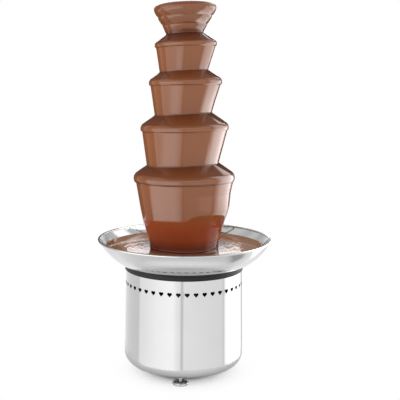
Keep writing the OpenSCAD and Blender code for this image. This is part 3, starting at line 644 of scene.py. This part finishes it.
# Crown: the chocolate wells up over the cup in a low dome, brims over and runs down the cup's side in
# three soft rolls. It is one skin, from the middle of the dome to the filling inside the cup.
CROWN_R, CROWN_Z, DOME_H, DOME_ROWS, FLOW_ROWS = 0.0680, 0.8275, 0.0123, 40, 90
ROLLS, ROLL_DEPTH, SWELL, WAVER_UP, WAVER_OUT = 2.8, 0.0022, 0.0007, 0.0011, 0.0006
CROWN_SWAY, FOOT_SWAY = -0.0010, -0.0014
FOOT_RISE, FOOT_OUT, FOOT_FLARE = 0.001, 0.0005, 0.0010
CUP_TOP, CUP_LOW, CUP_WALL, FILL_Z = CROWN_Z - 0.005, 0.7817, 0.0018, 0.810
dome_r = CROWN_R * np.sin(np.linspace(0.0, np.pi / 2, DOME_ROWS))
dome_z = CROWN_Z + DOME_H * (1 - np.minimum(dome_r / CROWN_R, 1.0) ** 4) ** 0.4
crown_land = np.array((LAND_R[0], cone_z(0, LAND_R[0]) + HAIR))
flow_slope = (CROWN_R - crown_land[0]) / (CROWN_Z - crown_land[1])
down = np.linspace(0.0, 1.0, FLOW_ROWS)[1:]
flow_z = CROWN_Z + (crown_land[1] + FOOT_RISE - CROWN_Z) * down
flow_r = crown_land[0] + FOOT_OUT + (CROWN_R - crown_land[0] - FOOT_OUT) * (1 - down)
foot_end = (LAND_R[0] + FOOT_FLARE, cone_z(0, LAND_R[0] + FOOT_FLARE) + SKIN)
foot_flare = bend((flow_r[-1], flow_z[-1]), crown_land, foot_end, 12)[1:]


def rolls(down):
    """How far the flow stands out on its way down: round humps with sharp valleys, the absolute sine of
    the way, which die away towards the foot, and one long swell."""
    humps = np.abs(np.sin(np.pi * (ROLLS * down + 0.1))) ** 0.8 - 0.35
    return ROLL_DEPTH * humps * (1 - down) ** 0.6 + SWELL * np.sin(2.0 * np.pi * down)


def cup_r(z):
    """Radius of the cup's outer side at a height: the straight side of the flow, less its film."""
    return crown_land[0] + flow_slope * (z - crown_land[1]) - FILM * np.hypot(1.0, flow_slope)


inner_cup = np.array(((LAND_R[0] - SHEET, cone_z(0, LAND_R[0] - SHEET) + HAIR),
                      (cup_r(CUP_LOW) + HAIR, CUP_LOW), (cup_r(CUP_TOP) + HAIR, CUP_TOP + HAIR),
                      (cup_r(CUP_TOP) - CUP_WALL, CUP_TOP + HAIR),
                      (cup_r(FILL_Z) - CUP_WALL, FILL_Z), (0.0, FILL_Z)))
dome, flow = (np.stack(line, axis=1) for line in ((dome_r, dome_z), (flow_r + rolls(down), flow_z)))
r, z = all_round(np.concatenate([dome, flow, foot_flare, inner_cup]))
rows = slice(len(dome), len(dome) + len(flow))
waver = np.sin(np.pi * down)[:, None] ** 0.5
z[rows] += WAVER_UP * waver * streaks(7, (1, 2, 3, 5))
r[rows] += WAVER_OUT * waver * streaks(8, (2, 3, 5, 7))
outside = rows.stop + len(foot_flare)
z[:outside] += LEAN[0] * r[:outside] * np.cos(turn)
still = np.zeros(len(inner_cup))
sway = np.concatenate([CROWN_SWAY * dome_r / CROWN_R, CROWN_SWAY + (FOOT_SWAY - CROWN_SWAY) * down,
                       np.full(len(foot_flare), FOOT_SWAY), still])[:, None] * np.cos(turn)
settled = np.concatenate([np.zeros(len(dome)), down, np.ones(len(foot_flare)), still])[:, None]
r += sway
z -= settled * sway * np.tan(SLOPE)
# Painted shade, as shares of full colour: in the middle of the upward-facing dome, at its brim, and low on
# the flow, which ends darker where it meets the cone
DOME_SHADE, BRIM_SHADE, LOW_SHADE, END_SHADE, LOW_ON_FLOW = 0.60, 0.86, 0.82, 0.4, 0.88
shade = np.concatenate([DOME_SHADE + (BRIM_SHADE - DOME_SHADE) * (dome_r / CROWN_R) ** 6,
                        np.interp(down, (0.0, LOW_ON_FLOW, 1.0), (BRIM_SHADE, LOW_SHADE, END_SHADE)),
                        np.full(len(foot_flare), FOOT_SHADE), np.ones(len(inner_cup))])
flow_piece("chocolate_crown_flow", "chocolate_crown", r, z, chocolate, shade, closed=False)


# Pool: the chocolate that has come back to the bowl, lighter than the falling sheet, with low rings round
# the sheet's foot and a meniscus against the steel. Round the sheet's foot it is painted darker and redder,
# a painted shade.
still_chocolate, tree, shader, place = start_material("still_chocolate")
lines, clouds = add_marks(tree, place, (90.0, 90.0, 90.0))
settled_tones = two_tones(tree, clouds, (0.38, 0.165, 0.068), (0.46, 0.205, 0.088))
feed(tree, shader, Base_Color=two_tones(tree, shade_of(tree), (0.100, 0.019, 0.009), settled_tones),
     Roughness=value_range(tree, lines, 0.04, 0.10), Normal=bump(tree, lines, 6e-5))
set_inputs(shader, IOR=1.55)
# The bowl's wall is an arc from the edge of its flat floor up to its rim
BOWL_R, BOWL_FLAT_R, BOWL_RISE, BOWL_FLOOR_Z, BOWL_T = 0.200, 0.078, 0.075, 0.2445, 0.0016
POOL_HOLE, POOL_ROWS, WALL_ROWS, WALL_GAP = 0.0575, 180, 40, 0.00015
MENISCUS_H, MENISCUS_W, CALM_W = 0.0012, 0.0025, 0.01
LANDING_R, POOL_SHADE_W = 0.080, 0.050
WAVES_FROM, WAVES_RISE = 0.081, 0.012
RING_H, RING_LENGTH, RING_REACH, RING_WAVER = 0.00006, 0.0011, 0.008, 1.5
BROAD_H, BROAD_LENGTH, FINE_H, FINE_LENGTH = 0.00010, 0.006, 0.00006, 0.0023
arc_r = ((BOWL_R - BOWL_FLAT_R) ** 2 + BOWL_RISE ** 2) / (2 * BOWL_RISE)
arc_centre = (BOWL_FLAT_R, BOWL_FLOOR_Z + arc_r)
wet_r = arc_r - BOWL_T - WALL_GAP
edge_angle = np.arccos((arc_centre[1] - POOL_Z - MENISCUS_H) / wet_r)
wall = arc(arc_centre, wet_r, edge_angle - np.pi / 2, -np.pi / 2, WALL_ROWS)
pool_r = np.linspace(POOL_HOLE, wall[0, 0], POOL_ROWS)
surface = np.stack([pool_r, np.full(POOL_ROWS, POOL_Z)], axis=1)
r, z = all_round(np.concatenate([surface, wall[1:], [(POOL_HOLE, wall[-1, 1])]]))
from_axis = pool_r[:, None]
from_landing = from_axis - LANDING_R
to_wall = wall[0, 0] - from_axis
rings = RING_H * np.sin(from_landing / RING_LENGTH + RING_WAVER * streaks(3, (2, 3, 5)))
rings *= np.exp(-from_landing / RING_REACH)
swell = BROAD_H * streaks(4, (5, 7, 11, 17), 0.5) * np.sin(from_axis / BROAD_LENGTH)
swell += FINE_H * streaks(5, (13, 19, 31, 43), 0.3) * np.sin(from_axis / FINE_LENGTH)
free = np.clip((from_axis - WAVES_FROM) / WAVES_RISE, 0.0, 1.0) * np.clip(to_wall / CALM_W, 0, 1)
z[:POOL_ROWS] += free * (rings + swell) + MENISCUS_H * np.exp(-to_wall / MENISCUS_W)
# Painted shade: the pool darkens to a deep red-brown towards the sheet's foot, where the tower shades it
shade = np.concatenate([smooth((pool_r - LANDING_R) / POOL_SHADE_W), np.ones(len(r) - POOL_ROWS)])
flow_piece("chocolate_in_bowl", "chocolate_pool", r, z, still_chocolate, shade)


# Table: a small round of white board under the feet. It takes the fountain's soft shadow and thins out
# to nothing at its edge, so that the white room carries on from it. Polished steel sees more of it, and
# in reflections alone it glows, not at all near the feet and less behind: a painted light and painted
# shadow seen only in reflections.
TABLE_R, SEEN_R = 0.28, 0.19
SHADOW_FULL, SHADOW_END, SHADOW_POWER = 0.075, 0.24, 5.0
FRONT_Y, BACK_Y, BACK_SHARE, STEEL_GLOW, EYE_GLOW = -0.16, 0.04, 0.35, 0.58, 0.05


def matt_board(name, grain, dark, light, rough):
    """Dull board or card: a fine noise shifts its tone, and it has no gloss."""
    made, tree, shader, place = start_material(name)
    nap = noise(tree, place, Scale=grain, Detail=2.0)
    feed(tree, shader, Base_Color=two_tones(tree, nap, dark, light))
    set_inputs(shader, Roughness=rough, Specular_IOR_Level=0.0)
    return made, tree, shader, place


white_board, tree, shader, place = matt_board("white_board", 60.0, grey(0.78), grey(0.82), 0.9)
set_inputs(shader, Emission_Color=(1.0, 1.0, 1.0, 1.0))
rays = tree.nodes.new("ShaderNodeLightPath").outputs
from_middle = axis_distance(tree, place)
near = value_range(tree, from_middle, 1.0, 0.0, SHADOW_FULL, SHADOW_END)
in_front = value_range(tree, axes(tree, place)["Y"], 1.0, 0.0, FRONT_Y, BACK_Y)
# Painted light: in reflections the board glows, not at all near the feet and less behind
painted_glow_in_steel = combine(tree, "MULTIPLY", value_range(tree, near, STEEL_GLOW, 0.0),
                     value_range(tree, in_front, BACK_SHARE, 1.0))
mirrored = combine(tree, "MULTIPLY", rays["Is Glossy Ray"], painted_glow_in_steel)
whole_board = combine(tree, "MULTIPLY", rays["Is Glossy Ray"],
                      value_range(tree, from_middle, 1.0, 0.0, SEEN_R, TABLE_R))
feed(tree, shader,
     Emission_Strength=combine(tree, "MULTIPLY_ADD", rays["Is Camera Ray"], EYE_GLOW, mirrored),
     Alpha=combine(tree, "MAXIMUM", combine(tree, "POWER", near, SHADOW_POWER), whole_board))
table_mesh = bpy.data.meshes.new("table")
table_edge = np.stack([TABLE_R * np.cos(turn), TABLE_R * np.sin(turn), np.zeros(TURNS)], axis=1)
table_mesh.from_pydata(table_edge, [], [np.arange(TURNS)])
table_mesh.materials.append(white_board)
table = bpy.data.objects.new("table", table_mesh)
scene.collection.objects.link(table)


# Studio: soft white walls all round, brighter at the left and brightest at the right, under a dark
# ceiling. A lit panel behind shows in the pool, and cards close to the tower show in the chocolate.
# All of it is seen in reflections alone: the background is plain white.
PANEL_LIGHT = 2.35
panel = bpy.data.lights.new("back_panel", "AREA")
panel.shape = "RECTANGLE"
panel.size, panel.size_y = 0.62, 0.535
panel.energy = PANEL_LIGHT * np.pi * panel.size * panel.size_y
holder = bpy.data.objects.new("back_panel", panel)
holder.location = (0.0, 2.2, 1.0375)
holder.rotation_euler = (np.pi / 2, 0.0, np.pi)
holder.visible_camera = False
scene.collection.objects.link(holder)


def grey_ramp(tree, source, stops):
    """Brightness against a value of 0 to 1, straight between the stops."""
    node = tree.nodes.new("ShaderNodeValToRGB")
    elements = node.color_ramp.elements
    elements.remove(elements[1])
    for k, (position, level) in enumerate(stops):
        stop = elements.new(position) if k else elements[0]
        stop.position, stop.color = position, (*grey(level), 1.0)
    feed(tree, node, Fac=source)
    return node.outputs["Color"]


def upright_card(name, corners, material):
    """A flat card from its corners, which only reflections show."""
    card_mesh = bpy.data.meshes.new(name)
    card_mesh.from_pydata(corners, [], [range(len(corners))])
    card_mesh.materials.append(material)
    card = bpy.data.objects.new(name, card_mesh)
    card.visible_camera = card.visible_diffuse = card.visible_shadow = False
    scene.collection.objects.link(card)


# A grey card at the left, a bright one at the right, and three dark ones above the grey one and behind
# the tower. Their slanted edges keep them out of the bowl's reflections.
SIDE_X, BEHIND_Y = 0.3, 0.13
LEFT_CARD = ((-0.055, 0.25), (0.15, 0.25), (0.15, 0.60), (-0.055, 0.80))
RIGHT_CARD = ((-0.15, 0.25), (0.25, 0.25), (0.25, 0.58), (0.15, 0.64), (-0.15, 0.90))
UPPER_LEFT_CARD = ((0.03, 0.80), (0.30, 0.68), (0.30, 1.10), (0.03, 1.10))
LEFT_BACK_CARD = ((-0.12, 0.365), (-0.17, 0.32), (-0.30, 0.30), (-0.25, 0.86), (-0.07, 0.86))
RIGHT_BACK_CARD = ((0.115, 0.365), (0.185, 0.365), (0.13, 0.86), (0.07, 0.86))
# The bright card's glow grows from its front edge inwards, and is strongest at middle height
GLOW_LOW, GLOW_HIGH, GLOW_FROM_Y, GLOW_TO_Y = 0.9, 4.6, -0.13, -0.04
GLOW_BY_HEIGHT = ((0.30, 0.55), (0.40, 1.0), (0.52, 1.0), (0.62, 0.65))
CARD_GRAIN = 300.0
grey_card = matt_board("grey_card", CARD_GRAIN, grey(0.52), grey(0.58), 1.0)[0]
dark_card = matt_board("dark_card", CARD_GRAIN, grey(0.10), grey(0.13), 1.0)[0]
bright_card, tree, shader, place = start_material("bright_card")
at = axes(tree, place)
across_card = value_range(tree, at["Y"], GLOW_LOW, GLOW_HIGH, GLOW_FROM_Y, GLOW_TO_Y)
up_card = grey_ramp(tree, at["Z"], GLOW_BY_HEIGHT)
feed(tree, shader, Emission_Strength=combine(tree, "MULTIPLY", across_card, up_card))
set_inputs(shader, Base_Color=(0.0, 0.0, 0.0, 1.0), Emission_Color=(1.0, 1.0, 1.0, 1.0), Roughness=1.0,
           Specular_IOR_Level=0.0)
upright_card("left_card", [(-SIDE_X, y, z) for y, z in LEFT_CARD], grey_card)
upright_card("right_card", [(SIDE_X, y, z) for y, z in RIGHT_CARD], bright_card)
upright_card("upper_left_card", [(-SIDE_X, y, z) for y, z in UPPER_LEFT_CARD], dark_card)
upright_card("left_back_card", [(x, BEHIND_Y, z) for x, z in LEFT_BACK_CARD], dark_card)
upright_card("right_back_card", [(x, BEHIND_Y, z) for x, z in RIGHT_BACK_CARD], dark_card)

world = bpy.data.worlds.new("studio")
scene.world = world
world.use_nodes = True
tree = world.node_tree
rays = tree.nodes.new("ShaderNodeLightPath").outputs
toward = axes(tree, tree.nodes.new("ShaderNodeTexCoord").outputs["Generated"])
# Bearing from the front, to the right, as 0 at the back left round to 1 at the back right, and height
# as 0 straight down and 1 straight up
bearing = combine(tree, "ARCTAN2", toward["X"], combine(tree, "MULTIPLY", toward["Y"], -1.0))
around = combine(tree, "MULTIPLY_ADD", bearing, 1.0 / (2.0 * np.pi), 0.5)
height = combine(tree, "MULTIPLY_ADD", toward["Z"], 0.5, 0.5)


def by_bearing(stops):
    """Brightness against the bearing in degrees."""
    return grey_ramp(tree, around, [((degrees + 180) / 360, level) for degrees, level in stops])


def by_height(*stops):
    """Brightness against the height."""
    return grey_ramp(tree, height, stops)


def patch(sideways, upright):
    """One where two masks are both one."""
    return combine(tree, "MULTIPLY", sideways, upright)


# The housing shows a low band of the walls. The tower and the bowl show the screens above and below
# it, and the upper walls. A mat lies on the floor at the right, and a bright pane stands high behind it.
WALLS = ((-180, 1.0), (-150, 1.05), (-97, 1.0), (-92, 1.33), (-78, 1.38), (-50, 1.57), (-25, 1.66),
         (-19, 1.64), (-13, 1.46), (-6, 1.36), (-4, 0.95), (-1.5, 0.95), (1, 1.35), (80, 1.22),
         (84, 1.0), (88, 1.7), (98, 2.3), (140, 2.3), (155, 0.9), (168, 0.55), (180, 0.7))
SCREENS = ((-180, 1.0), (-132, 1.0), (-122, 0.5), (-98, 0.5), (-88, 2.2), (-70, 2.55), (-27, 2.55),
           (-14, 2.0), (-6, 1.3), (-3, 0.6), (-1, 0.6), (1, 0.9), (78, 0.9), (90, 1.4), (102, 2.6),
           (112, 3.2), (140, 3.2), (148, 1.5), (153, 1.0), (180, 1.0))
UPPER = ((-180, 0.25), (-165, 0.3), (-150, 0.72), (-140, 0.58), (-128, 0.8), (-115, 0.62), (-100, 0.8),
         (-60, 0.75), (60, 0.75), (100, 0.66), (107, 1.6), (124, 1.6), (128, 0.75), (150, 0.52),
         (165, 0.3), (180, 0.25))
MAT = ((0, 0.0), (88, 0.0), (100, 1.0), (122, 1.0), (134, 0.0))
PANE = ((0, 0.0), (140, 0.0), (147, 1.0), (166, 1.0), (171, 0.0))
MAT_LEVEL, LAMP_LEVEL, DARK_LEVEL, PANE_LEVEL = 0.45, 1.4, 0.26, 2.0
off_band = by_height((0.321, 1.0), (0.337, 0.0), (0.41, 0.0), (0.44, 1.0))
sides = two_tones(tree, off_band, by_bearing(WALLS), by_bearing(SCREENS))
mat = patch(by_bearing(MAT), by_height((0.07, 0.0), (0.10, 1.0), (0.135, 1.0), (0.165, 0.0)))
floor = two_tones(tree, mat, by_height((0.067, 0.85), (0.19, 1.1)), grey(MAT_LEVEL))
lower_room = two_tones(tree, by_height((0.19, 1.0), (0.25, 0.0)), sides, floor)
walled = two_tones(tree, by_height((0.55, 0.0), (0.60, 1.0)), lower_room, by_bearing(UPPER))
frontward = combine(tree, "MULTIPLY_ADD", toward["Y"], -0.5, 0.5)
lamp = patch(grey_ramp(tree, frontward, ((0.55, 0.0), (0.65, 1.0))),
             by_height((0.60, 0.0), (0.66, 1.0), (0.71, 1.0), (0.79, 0.0)))
middle = grey_ramp(tree, combine(tree, "ABSOLUTE", toward["X"]), ((0.45, 1.0), (0.60, 0.0)))
hood = patch(middle, by_height((0.77, 0.0), (0.80, 1.0)))
hooded = two_tones(tree, hood, two_tones(tree, lamp, walled, grey(LAMP_LEVEL)), grey(DARK_LEVEL))
up_and_back = combine(tree, "MULTIPLY", combine(tree, "ADD", toward["Y"], toward["Z"]), 0.5)
ceiling = grey_ramp(tree, up_and_back, ((0.535, 0.0), (0.565, 1.0)))
pane = patch(by_bearing(PANE), by_height((0.645, 0.0), (0.67, 1.0), (0.77, 1.0), (0.80, 0.0)))
room = two_tones(tree, pane, two_tones(tree, ceiling, hooded, grey(DARK_LEVEL)), grey(PANE_LEVEL))
# Dull surfaces get an even light that is a little stronger from both sides, most of all the left
EVEN_LIGHT, SIDE_LIGHT, RIGHT_LOSS = 0.72, 0.8, -0.12
slant = combine(tree, "MULTIPLY_ADD", toward["X"], SIDE_LIGHT, RIGHT_LOSS)
daylight = combine(tree, "MULTIPLY_ADD", toward["X"], slant, EVEN_LIGHT)
lighting = two_tones(tree, rays["Is Glossy Ray"], daylight, room)
feed(tree, tree.nodes["Background"], Color=two_tones(tree, rays["Is Camera Ray"], lighting, grey(1.0)))
